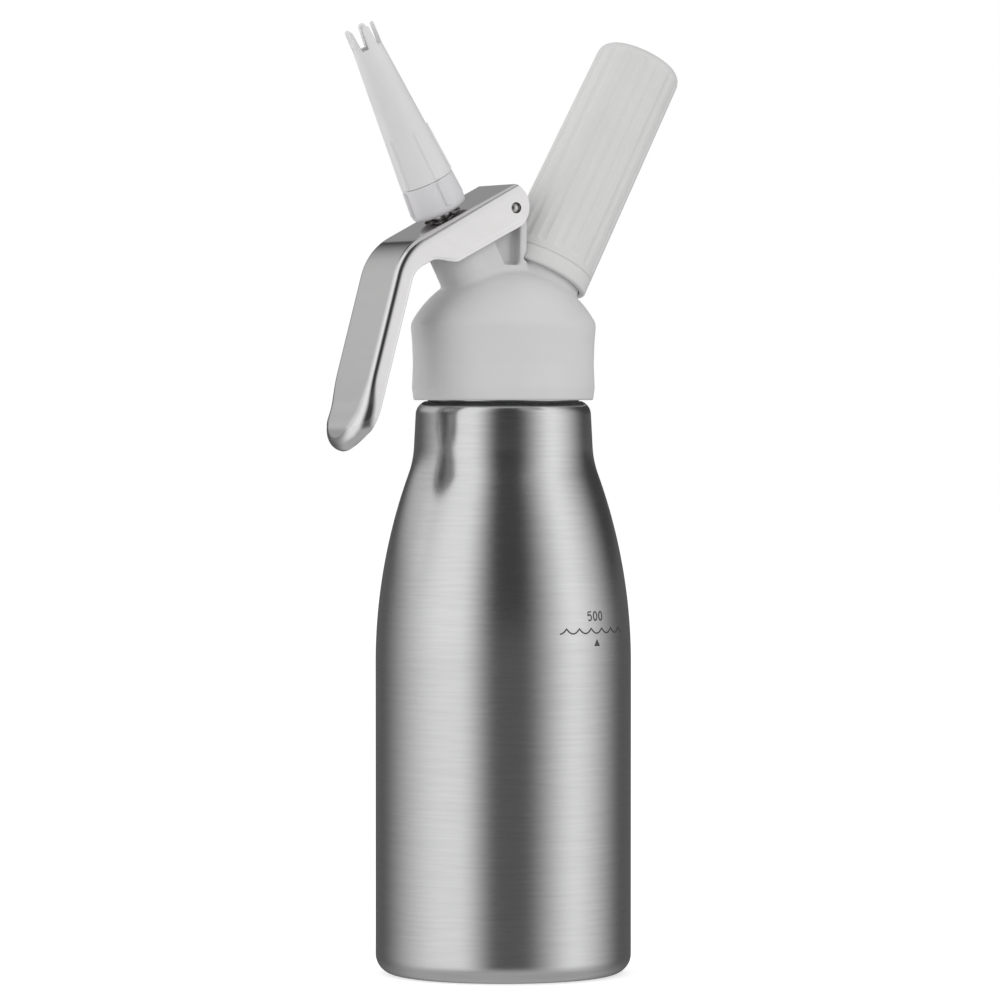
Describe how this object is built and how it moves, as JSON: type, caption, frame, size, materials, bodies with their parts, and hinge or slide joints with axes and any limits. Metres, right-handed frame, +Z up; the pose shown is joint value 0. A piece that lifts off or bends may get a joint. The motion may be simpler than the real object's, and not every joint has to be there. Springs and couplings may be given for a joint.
{
  "type": "whipped cream dispenser",
  "caption": "Steel pressure bottle with a domed plastic screw head, squeeze lever, tilted valve with crown tip, and tilted gas charger holder.",
  "frame": {"origin": "centre of the bottle's flat base face", "axes": "+Z up along the bottle axis, +X towards the charger holder, the squeeze lever on -X"},
  "size_m": [0.1205, 0.08, 0.2967],
  "materials": {
    "brushed_steel": "stainless steel, brushed round the axis",
    "polished_steel": "stainless steel, polished",
    "turned_steel": "stainless steel, turned",
    "spring_steel": "drawn spring wire",
    "zinc_steel": "zinc plated steel",
    "white_plastic": "moulded, matt white",
    "pale_grey_plastic": "moulded, matt pale grey",
    "pale_rubber": "moulded rubber",
    "red_rubber": "moulded rubber"
  },
  "bodies": {
    "bottle": {"bottle": "brushed_steel"},
    "head": {"head_body": "white_plastic", "head_gasket": "pale_rubber", "lever_pin": "turned_steel", "charging_valve_body": "turned_steel", "charging_valve_washer": "red_rubber", "charging_valve_nut": "turned_steel", "check_valve_sleeve": "red_rubber", "piercing_pin": "turned_steel", "charger_seal": "red_rubber", "valve_spring": "spring_steel"},
    "lever": {"lever": "polished_steel"},
    "valve": {"valve_stem": "turned_steel", "stem_o_ring": "red_rubber", "valve_seal": "red_rubber", "thrust_nut": "turned_steel"},
    "adapter": {"nozzle_adapter": "pale_grey_plastic"},
    "tip": {"decorator_tip": "white_plastic"},
    "charger": {"gas_charger": "zinc_steel"},
    "holder": {"charger_holder": "white_plastic", "holder_thread_insert": "turned_steel"}
  },
  "joints": [
    {"name": "head_lift", "type": "slide", "parent": "bottle", "child": "head", "axis": [0, 0, 1], "range_m": [0, 0.04]},
    {"name": "lever_press", "type": "hinge", "parent": "head", "child": "lever", "pos_m": [-0.00231, 0, 0.23932], "axis": [0, -1, 0], "range_deg": [0, 8], "stiffness_Nm_per_rad": 3, "springref_deg": -8.59},
    {"name": "valve_press", "type": "slide", "parent": "head", "child": "valve", "axis": [0.454, 0, -0.891], "range_m": [0, 0.003], "deforming": ["valve_spring"]},
    {"name": "adapter_unscrew", "type": "slide", "parent": "valve", "child": "adapter", "axis": [-0.454, 0, 0.891], "range_m": [0, 0.012]},
    {"name": "tip_unscrew", "type": "slide", "parent": "adapter", "child": "tip", "axis": [-0.454, 0, 0.891], "range_m": [0, 0.015]},
    {"name": "holder_unscrew", "type": "slide", "parent": "head", "child": "holder", "axis": [0.4695, 0, 0.8829], "range_m": [0, 0.09]},
    {"name": "charger_pull", "type": "slide", "parent": "head", "child": "charger", "axis": [0.4695, 0, 0.8829], "range_m": [0, 0.011]}
  ],
  "couplings": [
    {"joint": "valve_press", "follows": "lever_press", "m_per_rad": 0.0204},
    {"joint": "charger_pull", "follows": "holder_unscrew", "ratio": 0.12}
  ]
}
